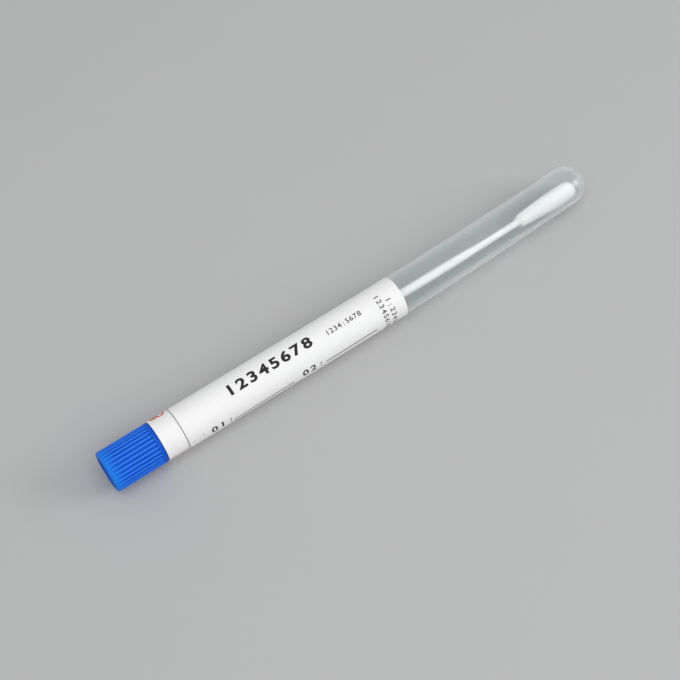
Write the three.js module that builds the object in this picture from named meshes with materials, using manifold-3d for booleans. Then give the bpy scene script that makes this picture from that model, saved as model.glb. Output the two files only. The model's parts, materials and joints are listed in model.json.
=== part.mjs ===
// Specimen swab tube: a round-bottomed plastic tube, closed by a ribbed plug cap that carries a cotton
// swab, with a paper label and a paper seal band round the tube.
//
// Sizes are millimetres. The tube lies on its side: x is 0 at its mouth, the cap lies towards -X and the
// round bottom towards +X. y and z are measured from the axis of the tube's straight end, and +Z is up.
// At the end the whole object is moved so that its origin is the middle of its footprint.
import * as THREE from 'three';
import { mergeVertices } from 'three/addons/utils/BufferGeometryUtils.js';
import Module from 'manifold-3d';

// ---- driving dimensions ----

const TUBE_LENGTH = 150; // from the mouth to the tip of the round bottom
const MOUTH_RADIUS = 6.0; // outside radius at the mouth
const BOTTOM_RADIUS = 5.9; // outside radius where the round bottom starts, less by the mould's draft
const TUBE_WALL = 1.0;
const MOUTH_EDGE = 0.2; // chamfer on both edges of the mouth

const BEND_START = 48.75; // the tube is straight up to here and curves from here to its tip
const BEND_SIDE = 2.43; // how far the tip has curved towards +Y

const HEAD_LENGTH = 16; // the part of the cap outside the tube
const HEAD_RADIUS = 6.1; // over the crests of the ribs
const RIM_ROUND = 0.8; // rounding of the head's outer edge
const RECESS_RADIUS = 4.7; // hollow in the head's end face
const RECESS_DEPTH = 3;
const RECESS_DRAFT = 0.15; // the recess is this much narrower at its floor
const RIB_COUNT = 30;
const RIB_DEPTH = 0.3;
const RIB_FADE = 0.3; // length over which the grooves run out at each end
const COLLAR_LENGTH = 1.1; // plain ring between the ribs and the tube
const SHOULDER_EDGE = 0.15; // chamfer where the head meets the tube's mouth

const PLUG_LENGTH = 8; // the part of the cap inside the tube
const PLUG_RADIUS = 4.92;
const PLUG_LEAD_IN = 1.4; // length of the plug's tapered end
const PLUG_TAPER = 0.3; // the plug's end is this much narrower
const HOLLOW_RADIUS = 3.9; // hollow inside the plug and the head
const HOLLOW_DEPTH = 11.5; // how far the hollow reaches into the head
const SOCKET_RADIUS = 2.2; // outside of the socket in the cap that holds the swab's shaft
const SOCKET_LENGTH = 4; // how far the socket stands out past the tube's mouth
const SOCKET_DEPTH = 11; // how far the socket's bore reaches into the head

const SHAFT_RADIUS = 1.27;
const NECK_RADIUS = 0.97; // the thinner end of the shaft, which carries the bud
const NECK_TAPER_START = 103;
const NECK_TAPER_END = 112;
const SHAFT_END = 142;
const DROOP = 0.75; // how far the shaft hangs below the axis
const DROOP_END = 95; // by here it hangs that far
const LEAN = 0.6; // how far the swab's tip leans towards +Y
const LEAN_START = 100;

const BUD_START = 124.8;
const BUD_END = 146.2;
const BUD_ROOT_RADIUS = 2.05;
const BUD_RADIUS = 2.95; // at its widest
const BUD_SHOULDER = 1.1; // rounding at the root
const BUD_NOSE = 2.7; // length of the rounded end

const PAPER = 0.15; // thickness of the band and the label, with their adhesive
const BAND_START = 0.15;
const BAND_END = 6.45;
const BAND_RADIUS = 6.2; // outside
const LABEL_START = 6.75;
const LABEL_END = 79.8;
const LABEL_RADIUS = 6.23; // outside
const LABEL_FOLLOW = 0.5; // share of the tube's curve that the label takes up

const FIT = 0.05; // gap between pieces that sit in or on each other
const ROUND_STEPS = 48; // facets round the tube, the papers and the plug
const STEPS_PER_RIB = 4;
const BUD_STEPS = 28;
const SHAFT_STEPS = 20;
const ARC_STEPS = 5;
const BEND_STEPS = 10; // stations along the tube's curve
const DROOP_STEPS = 12; // stations along the shaft's droop
const LEAN_STEPS = 4; // stations along the shaft's thin end, and along the bore of the bud
const SWELL_STEPS = 6; // stations along the bud's swell
const LABEL_STEPS = 4; // stations along the label's curved end

// ---- curves that the pieces follow ----

// Share of the tip's offset that the tube has reached at x: a parabola from the start of the bend.
function bendShare(x) {
  return Math.max(0, (x - BEND_START) / (TUBE_LENGTH - BEND_START)) ** 2;
}

// The bent end comes down until the start of the round bottom rests on the same surface as the label.
const BOTTOM_START = TUBE_LENGTH - BOTTOM_RADIUS;
const BEND_DROP = (LABEL_RADIUS - BOTTOM_RADIUS) / bendShare(BOTTOM_START);

function tubeLine(x) {
  return { y: BEND_SIDE * bendShare(x), z: -BEND_DROP * bendShare(x) };
}

function labelLine(x) {
  const line = tubeLine(x);
  return { y: LABEL_FOLLOW * line.y, z: LABEL_FOLLOW * line.z };
}

function swabLine(x) {
  const lean = Math.max(0, (x - LEAN_START) / (BUD_END - LEAN_START));
  return { y: LEAN * lean ** 2, z: -DROOP * THREE.MathUtils.smoothstep(x, SOCKET_LENGTH, DROOP_END) };
}

function tubeRadius(x) {
  return THREE.MathUtils.mapLinear(x, 0, BOTTOM_START, MOUTH_RADIUS, BOTTOM_RADIUS);
}

// The bud swells along a quarter sine wave, from its shoulder to its widest place.
function budRadius(x) {
  const swell = (x - BUD_START - BUD_SHOULDER) / (BUD_END - BUD_NOSE - BUD_START - BUD_SHOULDER);
  return THREE.MathUtils.lerp(BUD_ROOT_RADIUS, BUD_RADIUS, Math.sin(swell * Math.PI / 2));
}

// ---- profiles and solids ----

const at = (x, radius) => new THREE.Vector2(radius, x);

// count + 1 stations from one x to another
function stations(from, to, count) {
  return Array.from({ length: count + 1 }, (unused, i) => THREE.MathUtils.lerp(from, to, i / count));
}

// Points of an elliptical arc about (centreX, centreRadius), between two angles in quarter turns.
function arc(centreX, centreRadius, reachX, reachRadius, from, to) {
  return stations(from, to, ARC_STEPS).map((quarter) => {
    const angle = quarter * Math.PI / 2;
    return at(centreX + reachX * Math.cos(angle), Math.abs(centreRadius + reachRadius * Math.sin(angle)));
  });
}

// Turns a profile of (x, radius) points about the X axis. A flat facet faces straight down.
function turned(profile, steps) {
  const lathe = new THREE.LatheGeometry(profile, steps, Math.PI / steps);
  lathe.rotateZ(-Math.PI / 2);
  lathe.deleteAttribute('normal');
  lathe.deleteAttribute('uv');
  return mergeVertices(lathe, 1e-5);
}

// Moves each vertex by change(point), which edits a THREE.Vector3 in place.
function reshaped(geometry, change) {
  const positions = geometry.getAttribute('position');
  const point = new THREE.Vector3();
  for (let i = 0; i < positions.count; i += 1) {
    point.fromBufferAttribute(positions, i);
    change(point);
    positions.setXYZ(i, point.x, point.y, point.z);
  }
  return geometry;
}

// Shifts every section of a turned piece onto the centre line that line(x) gives.
function laidAlong(geometry, line) {
  return reshaped(geometry, (point) => {
    const { y, z } = line(point.x);
    point.y += y;
    point.z += z;
  });
}

// ---- the pieces ----

function tubeGeometry() {
  const innerBottom = BOTTOM_RADIUS - TUBE_WALL;
  const bendStations = stations(BEND_START, BOTTOM_START, BEND_STEPS);
  const outside = bendStations.slice(0, -1).map((x) => at(x, tubeRadius(x)));
  const inside = bendStations.slice(0, -1).map((x) => at(x, tubeRadius(x) - TUBE_WALL));
  const profile = [
    ...arc(BOTTOM_START, 0, innerBottom, innerBottom, 0, 1),
    ...inside.reverse(),
    at(MOUTH_EDGE, MOUTH_RADIUS - TUBE_WALL),
    at(FIT, MOUTH_RADIUS - TUBE_WALL + MOUTH_EDGE),
    at(FIT, MOUTH_RADIUS - MOUTH_EDGE),
    at(MOUTH_EDGE, MOUTH_RADIUS),
    ...outside,
    ...arc(BOTTOM_START, 0, BOTTOM_RADIUS, BOTTOM_RADIUS, 1, 0),
  ];
  return laidAlong(turned(profile, ROUND_STEPS), tubeLine);
}

// The grooves run along the head between two plain ends. Their floor follows a cosine round the head.
function ribbed(head) {
  const grooveStart = -HEAD_LENGTH + RIM_ROUND;
  const grooveEnd = -COLLAR_LENGTH;
  return reshaped(head, (point) => {
    const radius = Math.hypot(point.y, point.z);
    const inGroove = point.x > grooveStart + RIB_FADE / 2 && point.x < grooveEnd - RIB_FADE / 2;
    if (!inGroove || radius < HEAD_RADIUS - RIB_DEPTH) return;
    const turn = Math.atan2(point.y, point.z);
    const depth = RIB_DEPTH * (1 - Math.cos(turn * RIB_COUNT)) / 2;
    point.y *= (radius - depth) / radius;
    point.z *= (radius - depth) / radius;
  });
}

function headGeometry() {
  const end = -HEAD_LENGTH;
  const floor = end + RECESS_DEPTH;
  const profile = [
    at(0, 0),
    at(0, HEAD_RADIUS - SHOULDER_EDGE),
    at(-SHOULDER_EDGE, HEAD_RADIUS),
    at(-COLLAR_LENGTH, HEAD_RADIUS),
    at(-COLLAR_LENGTH - RIB_FADE, HEAD_RADIUS),
    at(end + RIM_ROUND + RIB_FADE, HEAD_RADIUS),
    at(end + RIM_ROUND, HEAD_RADIUS),
    ...arc(end + RIM_ROUND, HEAD_RADIUS - RIM_ROUND, RIM_ROUND, RIM_ROUND, 1, 2).slice(1),
    at(end, RECESS_RADIUS),
    at(floor, RECESS_RADIUS - RECESS_DRAFT),
    at(floor, 0),
  ];
  return ribbed(turned(profile.reverse(), RIB_COUNT * STEPS_PER_RIB));
}

function plugGeometry() {
  const root = -COLLAR_LENGTH;
  return turned([
    at(root, 0),
    at(root, PLUG_RADIUS),
    at(PLUG_LENGTH - PLUG_LEAD_IN, PLUG_RADIUS),
    at(PLUG_LENGTH, PLUG_RADIUS - PLUG_TAPER),
    at(PLUG_LENGTH, 0),
  ], ROUND_STEPS);
}

// Everything hollow on the cap's tube side: the ring round the socket, and the socket's own bore.
function capHollowGeometry() {
  const bore = SHAFT_RADIUS + FIT;
  const past = PLUG_LENGTH + 1;
  return turned([
    at(-SOCKET_DEPTH, 0),
    at(-SOCKET_DEPTH, bore),
    at(SOCKET_LENGTH, bore),
    at(SOCKET_LENGTH, SOCKET_RADIUS),
    at(-HOLLOW_DEPTH, SOCKET_RADIUS),
    at(-HOLLOW_DEPTH, HOLLOW_RADIUS),
    at(past, HOLLOW_RADIUS),
    at(past, 0),
  ], ROUND_STEPS);
}

const wasm = await Module();
wasm.setup();

function solid(geometry) {
  return new wasm.Manifold(new wasm.Mesh({
    numProp: 3,
    vertProperties: new Float32Array(geometry.getAttribute('position').array),
    triVerts: new Uint32Array(geometry.getIndex().array),
  }));
}

function geometryOf(manifold) {
  const mesh = manifold.getMesh();
  const geometry = new THREE.BufferGeometry();
  geometry.setAttribute('position', new THREE.BufferAttribute(mesh.vertProperties, mesh.numProp));
  geometry.setIndex(new THREE.BufferAttribute(mesh.triVerts, 1));
  return geometry;
}

function capGeometry() {
  const body = solid(headGeometry()).add(solid(plugGeometry()));
  return geometryOf(body.subtract(solid(capHollowGeometry())));
}

function shaftGeometry() {
  const root = -SOCKET_DEPTH + FIT;
  const profile = [
    at(root, 0),
    at(root, SHAFT_RADIUS),
    ...stations(SOCKET_LENGTH, NECK_TAPER_START, DROOP_STEPS).map((x) => at(x, SHAFT_RADIUS)),
    ...stations(NECK_TAPER_END, SHAFT_END, LEAN_STEPS).map((x) => at(x, NECK_RADIUS)),
    at(SHAFT_END, 0),
  ];
  return laidAlong(turned(profile, SHAFT_STEPS), swabLine);
}

function budGeometry() {
  const holeEnd = SHAFT_END + FIT;
  const shoulder = BUD_START + BUD_SHOULDER;
  const widest = BUD_END - BUD_NOSE;
  const profile = [
    at(holeEnd, 0),
    ...stations(holeEnd, BUD_START, LEAN_STEPS).map((x) => at(x, NECK_RADIUS + FIT)),
    ...arc(shoulder, BUD_ROOT_RADIUS - BUD_SHOULDER, -BUD_SHOULDER, BUD_SHOULDER, 0, 1),
    ...stations(shoulder, widest, SWELL_STEPS).slice(1, -1).map((x) => at(x, budRadius(x))),
    ...arc(widest, 0, BUD_NOSE, BUD_RADIUS, 1, 0),
  ];
  return laidAlong(turned(profile, BUD_STEPS), swabLine);
}

function sleeveGeometry(places, radius) {
  const outside = places.map((x) => at(x, radius));
  const inside = places.map((x) => at(x, radius - PAPER)).reverse();
  return turned([...inside, ...outside, inside[0]], ROUND_STEPS);
}

function bandGeometry() {
  return sleeveGeometry([BAND_START, BAND_END], BAND_RADIUS);
}

function labelGeometry() {
  const places = [LABEL_START, ...stations(BEND_START, LABEL_END, LABEL_STEPS)];
  return laidAlong(sleeveGeometry(places, LABEL_RADIUS), labelLine);
}

// ---- finishes and assembly ----

const FINISHES = {
  clouded_plastic: new THREE.MeshStandardMaterial({
    color: 0xb4bec4, roughness: 0.35, transparent: true, opacity: 0.45,
  }),
  blue_plastic: new THREE.MeshStandardMaterial({ color: 0x1256d6, roughness: 0.4 }),
  white_plastic: new THREE.MeshStandardMaterial({ color: 0xf0f0ee, roughness: 0.45 }),
  cotton: new THREE.MeshStandardMaterial({ color: 0xf6f5f1, roughness: 0.95 }),
  label_paper: new THREE.MeshStandardMaterial({ color: 0xeeeeee, roughness: 0.6 }),
  band_paper: new THREE.MeshStandardMaterial({ color: 0xf2efef, roughness: 0.6 }),
};

function piece(name, geometry, finish) {
  const mesh = new THREE.Mesh(geometry, FINISHES[finish]);
  mesh.name = name;
  geometry.computeVertexNormals();
  return mesh;
}

const assembly = new THREE.Group();
assembly.add(
  piece('tube', tubeGeometry(), 'clouded_plastic'),
  piece('cap', capGeometry(), 'blue_plastic'),
  piece('swab_shaft', shaftGeometry(), 'white_plastic'),
  piece('swab_bud', budGeometry(), 'cotton'),
  piece('label', labelGeometry(), 'label_paper'),
  piece('seal_band', bandGeometry(), 'band_paper'),
);

const box = new THREE.Box3().setFromObject(assembly);
const middle = box.getCenter(new THREE.Vector3());
assembly.position.set(-middle.x, -middle.y, -box.min.z);

const swabTube = new THREE.Group();
swabTube.add(assembly);

export default swabTube;
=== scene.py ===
import json
import math

import bmesh
import bpy
import numpy as np
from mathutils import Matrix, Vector

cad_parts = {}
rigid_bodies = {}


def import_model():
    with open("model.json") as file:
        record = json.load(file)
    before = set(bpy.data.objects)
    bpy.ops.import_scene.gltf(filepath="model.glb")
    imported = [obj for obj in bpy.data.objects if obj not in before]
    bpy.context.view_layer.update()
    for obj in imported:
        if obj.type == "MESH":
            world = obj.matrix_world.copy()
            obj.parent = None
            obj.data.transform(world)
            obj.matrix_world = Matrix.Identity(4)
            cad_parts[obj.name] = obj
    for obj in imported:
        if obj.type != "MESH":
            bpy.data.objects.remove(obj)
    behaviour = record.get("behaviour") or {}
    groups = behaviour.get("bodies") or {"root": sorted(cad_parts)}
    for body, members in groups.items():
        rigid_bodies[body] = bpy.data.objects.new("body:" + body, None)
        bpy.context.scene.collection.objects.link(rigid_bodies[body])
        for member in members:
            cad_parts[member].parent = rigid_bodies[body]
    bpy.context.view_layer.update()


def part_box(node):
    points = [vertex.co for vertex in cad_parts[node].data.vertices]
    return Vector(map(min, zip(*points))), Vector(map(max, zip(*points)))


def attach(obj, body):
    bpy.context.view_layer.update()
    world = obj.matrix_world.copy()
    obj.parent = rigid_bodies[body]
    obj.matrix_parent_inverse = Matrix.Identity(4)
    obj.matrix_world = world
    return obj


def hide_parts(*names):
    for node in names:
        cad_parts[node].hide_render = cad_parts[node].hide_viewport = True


bl_info = {
    "name": "Swab Tube Builder",
    "version": (1, 0, 0),
    "blender": (4, 5, 0),
    "location": "3D View > Sidebar > Swab Tube",
    "description": "Builds the finished pieces of a specimen swab tube round its packed frame",
    "category": "Add Mesh",
}

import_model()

MM = 0.001

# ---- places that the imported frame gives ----

TUBE_LOW, TUBE_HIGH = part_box("tube")
CAP_LOW, CAP_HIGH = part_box("cap")
BUD_LOW, BUD_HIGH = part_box("swab_bud")
BAND_LOW, BAND_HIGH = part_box("seal_band")
LABEL_LOW, LABEL_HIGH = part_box("label")

MOUTH_X = TUBE_LOW.x
TUBE_LENGTH = TUBE_HIGH.x - MOUTH_X
AXIS_Y = (BAND_LOW.y + BAND_HIGH.y) / 2
AXIS_Z = (BAND_LOW.z + BAND_HIGH.z) / 2
BAND_RADIUS = (BAND_HIGH.z - BAND_LOW.z) / 2
LABEL_RADIUS = LABEL_HIGH.z - AXIS_Z
HEAD_RADIUS = CAP_HIGH.z - AXIS_Z
HEAD_END = CAP_LOW.x - MOUTH_X
BUD_SPAN = (BUD_LOW.x - MOUTH_X, BUD_HIGH.x - MOUTH_X)
BAND_SPAN = (BAND_LOW.x - MOUTH_X, BAND_HIGH.x - MOUTH_X)
LABEL_SPAN = (LABEL_LOW.x - MOUTH_X, LABEL_HIGH.x - MOUTH_X)
TUBE_ORIGIN = np.array([MOUTH_X, AXIS_Y, AXIS_Z])


# ---- settings that a user would change ----


def number(name, description, value, **options):
    """A number that a user can change."""
    return bpy.props.FloatProperty(name=name, description=description, default=value, **options)


def length(name, description, millimetres):
    """A length, given in millimetres and kept in metres."""
    return number(name, description, millimetres * MM, unit="LENGTH", subtype="DISTANCE", precision=5)


def colour(name, description, *shade):
    """A colour, given as scene-linear red, green and blue."""
    options = {"default": shade, "min": 0, "max": 1, "subtype": "COLOR"}
    return bpy.props.FloatVectorProperty(name=name, description=description, **options)


def share(name, description, value):
    """A share, from nothing to the whole."""
    return number(name, description, value, min=0, max=1, subtype="FACTOR")


def turning(name, description, degrees):
    """An angle, given in degrees and kept in radians."""
    return number(name, description, math.radians(degrees), unit="ROTATION", subtype="ANGLE")


def power(name, description, watts):
    """A lamp's power."""
    return number(name, description, watts, unit="POWER", min=0)


class TubeSettings(bpy.types.PropertyGroup):
    mouth_radius: length("Mouth radius", "Outside radius of the tube at its mouth", 5.99)
    bottom_radius: length("Bottom radius", "Outside radius where the round bottom starts", 5.88)
    wall: length("Wall", "Thickness of the tube's wall", 1.0)
    lip: length("Lip", "Rounding of the mouth's two edges", 0.2)
    bend_start: length("Bend start", "Distance from the mouth at which the tube starts to curve", 48.7)
    bend_side: length("Bend", "How far the tip has curved sideways", 2.43)
    plastic: colour("Plastic", "Colour of the clouded plastic", 0.868, 0.908, 0.918)
    clearness: share("Clearness", "Share of the light that passes the plastic's surface", 0.96)


class CapSettings(bpy.types.PropertyGroup):
    ribs: bpy.props.IntProperty(name="Ribs", description="Ribs round the head", default=30, min=3)
    rib_depth: length("Rib depth", "Depth of the grooves between the ribs", 0.3)
    rim_round: length("Rim rounding", "Rounding of the head's outer edge", 0.8)
    collar: length("Collar", "Length of the plain ring beside the tube", 1.1)
    recess_radius: length("Recess radius", "Radius of the hollow in the head's end", 4.7)
    recess_depth: length("Recess depth", "Depth of the hollow in the head's end", 3.0)
    plug_radius: length("Plug radius", "Radius of the plug inside the tube", 4.92)
    plug_length: length("Plug length", "How far the plug reaches into the tube", 8.0)
    hollow_radius: length("Hollow radius", "Radius of the hollow inside the plug", 3.9)
    hollow_depth: length("Hollow depth", "How far the hollow reaches into the head", 11.5)
    socket_radius: length("Socket radius", "Outside radius of the socket for the shaft", 2.2)
    socket_length: length("Socket length", "How far the socket stands past the mouth", 4.0)
    socket_depth: length("Socket depth", "How far the socket's bore reaches into the head", 11.0)
    plastic: colour("Plastic", "Colour of the blue plastic", 0.0, 0.084, 0.58)
    # Painted highlight: the lighter blue put on the ribs' crests where light would catch them.
    crest: colour("Crest", "Lighter colour along the crests of the ribs", 0.040, 0.228, 0.88)
    # Painted highlight: a brighter azure on the thin rim, standing in for light falling on it from the left.
    rim: colour("Rim", "Brighter colour of the thin rim", 0.014, 0.205, 0.79)


class SwabSettings(bpy.types.PropertyGroup):
    radius: length("Radius", "Radius of the shaft", 1.27)
    neck_radius: length("Neck radius", "Radius of the shaft's thinner end, which carries the bud", 0.97)
    neck_start: length("Neck start", "Distance from the mouth at which the shaft starts to narrow", 103.0)
    neck_end: length("Neck end", "Distance from the mouth at which it has narrowed", 112.0)
    droop: length("Droop", "How far the shaft hangs below the axis", 0.75)
    droop_end: length("Droop end", "Distance from the mouth by which it hangs that far", 95.0)
    lean: length("Lean", "How far the swab's tip leans sideways", 0.6)
    lean_start: length("Lean start", "Distance from the mouth at which the lean starts", 100.0)
    bud_root: length("Bud root", "Radius of the bud where it starts", 2.05)
    bud_radius: length("Bud radius", "Radius of the bud at its widest", 2.9)
    bud_nose: length("Bud nose", "Length of the bud's rounded end", 2.9)
    shaft_white: colour("Shaft", "Colour of the shaft's plastic", 0.96, 0.93, 0.915)
    fibre_white: colour("Fibre", "Colour of the bud's fibre", 0.985, 0.94, 0.915)


class PaperSettings(bpy.types.PropertyGroup):
    thickness: length("Thickness", "Thickness of the paper with its adhesive", 0.11)
    lap: length("Lap", "Width over which the paper overlaps itself", 4.0)
    follow: share("Follow", "Share of the tube's curve that the label takes up", 0.5)
    white: colour("Paper", "Colour of the paper", 0.87, 0.87, 0.868)
    black: colour("Black ink", "Colour of the large numerals", 0.011, 0.011, 0.012)
    grey: colour("Grey ink", "Colour of the small print", 0.085, 0.085, 0.09)
    red: colour("Red ink", "Colour of the ring marks on the seal band", 0.66, 0.045, 0.04)
    orange: colour("Orange ink", "Colour of the disc marks on the seal band", 0.62, 0.20, 0.06)
    # Painted shade: this grey stands for the shadow line in the gap between the two papers.
    gap_shade: colour("Adhesive", "Colour of the adhesive between the two papers", 0.35, 0.35, 0.35)
    pink: colour("Pink ink", "Colour of the rules on the seal band", 0.62, 0.27, 0.29)


class StageSettings(bpy.types.PropertyGroup):
    azimuth: turning("Azimuth", "Camera's turn about the vertical", -34.73)
    elevation: turning("Elevation", "Camera's height above the horizon", 62.15)
    distance: length("Distance", "Distance from the camera to what it looks at", 376.4)
    aim_x: length("Aim along", "Where the camera looks, along the tube from the object's middle", -8.4)
    aim_y: length("Aim across", "Where the camera looks, across the tube from its axis", -2.56)
    lens: number("Lens", "Focal length in millimetres, on a sensor 36 mm wide", 70.5, unit="CAMERA", min=10)
    key_power: power("Key light", "Power of the large soft box above the tube", 1.65)
    tip_power: power("Tip light", "Power of the soft box that lights the round end", 5.9)
    floor: colour("Floor", "Colour of the floor", 0.482, 0.482, 0.482)
    room: colour("Room", "Colour of the even light from all round", 0.54, 0.545, 0.55)
    backdrop: colour("Backdrop", "Colour seen past the floor, mirrored or through the tube", 1.0, 1.0, 1.0)


class SwabTubeSettings(bpy.types.PropertyGroup):
    tube: bpy.props.PointerProperty(type=TubeSettings)
    cap: bpy.props.PointerProperty(type=CapSettings)
    swab: bpy.props.PointerProperty(type=SwabSettings)
    paper: bpy.props.PointerProperty(type=PaperSettings)
    stage: bpy.props.PointerProperty(type=StageSettings)


# ---- curves that the pieces follow; x is the distance from the tube's mouth ----


def smooth_step(t):
    """Rises from 0 to 1 along 3t^2 - 2t^3 as t goes from 0 to 1, and stays level outside."""
    t = np.clip(t, 0, 1)
    return t * t * (3 - 2 * t)


def bottom_start(tube):
    """Distance from the mouth at which the round bottom starts."""
    return TUBE_LENGTH - tube.bottom_radius


def bend_share(tube, x):
    """Share of the tip's offset that the tube has reached at x: a parabola from the start of the bend."""
    return np.maximum(0, (x - tube.bend_start) / (TUBE_LENGTH - tube.bend_start)) ** 2


def tube_line(settings, x):
    """Sideways and upward offset of the tube's axis, which curves sideways, and down to what it lies on."""
    tube = settings.tube
    drop = (AXIS_Z - TUBE_LOW.z - tube.bottom_radius) / bend_share(tube, bottom_start(tube))
    reached = bend_share(tube, x)
    return tube.bend_side * reached, -drop * reached


def label_line(settings, x):
    """The label takes up a share of the tube's curve."""
    side, up = tube_line(settings, x)
    return settings.paper.follow * side, settings.paper.follow * up


def swab_line(settings, x):
    """The shaft hangs smoothly lower from the socket on, and its tip leans sideways along a parabola."""
    swab, socket_end = settings.swab, settings.cap.socket_length
    leaning = np.maximum(0, (x - swab.lean_start) / (BUD_SPAN[1] - swab.lean_start)) ** 2
    return swab.lean * leaning, -swab.droop * smooth_step((x - socket_end) / (swab.droop_end - socket_end))


def tube_radius(tube, x):
    """The mould's draft narrows the tube evenly from its mouth to its round bottom."""
    return np.interp(x, [0, bottom_start(tube)], [tube.mouth_radius, tube.bottom_radius])


# ---- profiles: rows of (x, radius) ----

NEARLY_STRAIGHT = math.radians(89)


def fillet(before, corner, after, radius, steps):
    """Points of the arc that rounds a corner.

    The arc touches the two edges at radius / tan(half the corner's angle) from the corner, and its points
    turn evenly about its centre, which lies on the corner's bisector."""
    to_before = (before - corner) / np.linalg.norm(before - corner)
    to_after = (after - corner) / np.linalg.norm(after - corner)
    half = math.acos(np.clip(to_before @ to_after, -1, 1)) / 2
    if radius <= 0 or half > NEARLY_STRAIGHT:
        return corner[None]
    bisector = (to_before + to_after) / np.linalg.norm(to_before + to_after)
    centre = corner + bisector * radius / math.sin(half)
    reach = radius / math.tan(half)
    first = corner + to_before * reach - centre
    last = corner + to_after * reach - centre
    turn = math.pi - 2 * half
    t = np.linspace(0, 1, steps + 1)[:, None]
    return centre + (np.sin((1 - t) * turn) * first + np.sin(t * turn) * last) / math.sin(turn)


def rounded(corners, steps=5):
    """A profile through corners of (x, radius, fillet radius)."""
    corners = np.array(corners, float)
    places = corners[:, :2]
    rows = [places[:1]]
    for i in range(1, len(corners) - 1):
        rows.append(fillet(places[i - 1], places[i], places[i + 1], corners[i, 2], steps))
    rows.append(places[-1:])
    return np.concatenate(rows)


def refined(profile, longest):
    """The same profile, with each run split evenly into steps no longer than longest."""
    runs = np.diff(profile, axis=0)
    counts = np.maximum(1, np.ceil(np.hypot(*runs.T) / longest).astype(int))
    rows = []
    for start, run, count in zip(profile, runs, counts):
        rows.append(start + run * np.linspace(0, 1, count, endpoint=False)[:, None])
    return np.concatenate([*rows, profile[-1:]])


def quarter(centre_x, reach_x, reach_radius, start, stop, steps):
    """A quarter ellipse about (centre_x, 0), between two angles."""
    angle = np.linspace(start, stop, steps + 1)
    return np.stack([centre_x + reach_x * np.cos(angle), np.abs(reach_radius * np.sin(angle))], axis=-1)


# ---- surfaces ----


def turned(x, radius, angles):
    """Points round the axis: x stays, y = radius sin(angle) and z = radius cos(angle)."""
    x, radius, angles = np.broadcast_arrays(x, radius, angles)
    return np.stack([x, radius * np.sin(angles), radius * np.cos(angles)], axis=-1)


def round_angles(count):
    """Even angles round the axis, from straight up."""
    return np.linspace(0, 2 * math.pi, count, endpoint=False)


def laid_along(points, line, settings):
    """Moves points from the tube's own axes to their place, each section sideways and up by the line at x."""
    side, up = line(settings, points[..., 0])
    return points + TUBE_ORIGIN + np.stack([0 * side, side, up], axis=-1)


def ring_quads(rows, columns):
    """Quads between neighbouring rings. They face out where the rings follow x and turn with the angle."""
    i, j = np.meshgrid(np.arange(rows - 1), np.arange(columns), indexing="ij")
    down, right = i + 1, (j + 1) % columns
    corners = [i * columns + j, down * columns + j, down * columns + right, i * columns + right]
    return np.stack([c.ravel() for c in corners], axis=-1)


def closed_turning(points):
    """Vertices and faces of a grid of rings, with a point on the axis and a fan of triangles at each end."""
    rows, columns = points.shape[:2]
    vertices = np.concatenate([points.reshape(-1, 3), points[[0, -1]].mean(axis=1)])
    j = np.arange(columns)
    right = np.roll(j, -1)
    pole, base = 0 * j + rows * columns, (rows - 1) * columns
    first = np.stack([pole, j, right], axis=-1)
    last = np.stack([pole + 1, base + right, base + j], axis=-1)
    return vertices, [ring_quads(rows, columns), first, last]


def in_scene(name, data):
    """A new object that is in the scene."""
    thing = bpy.data.objects.new(name, data)
    bpy.context.scene.collection.objects.link(thing)
    return thing


def mesh_piece(name, vertices, faces, material, body, slot, smooth=True):
    """A finished object from its vertices and blocks of faces."""
    mesh = bpy.data.meshes.new(name)
    mesh.from_pydata(vertices.tolist(), [], [face for block in faces for face in block.tolist()])
    mesh.polygons.foreach_set("use_smooth", np.full(len(mesh.polygons), smooth))
    mesh.materials.append(material)
    piece = in_scene(name, mesh)
    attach(piece, body)
    return piece


def read(items, name, kind, width=1):
    """One property of all the vertices, corners or faces of a mesh, as an array."""
    values = np.zeros(len(items) * width, kind)
    items.foreach_get(name, values)
    return values.reshape(-1, width) if width > 1 else values


# ---- material nodes ----


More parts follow.
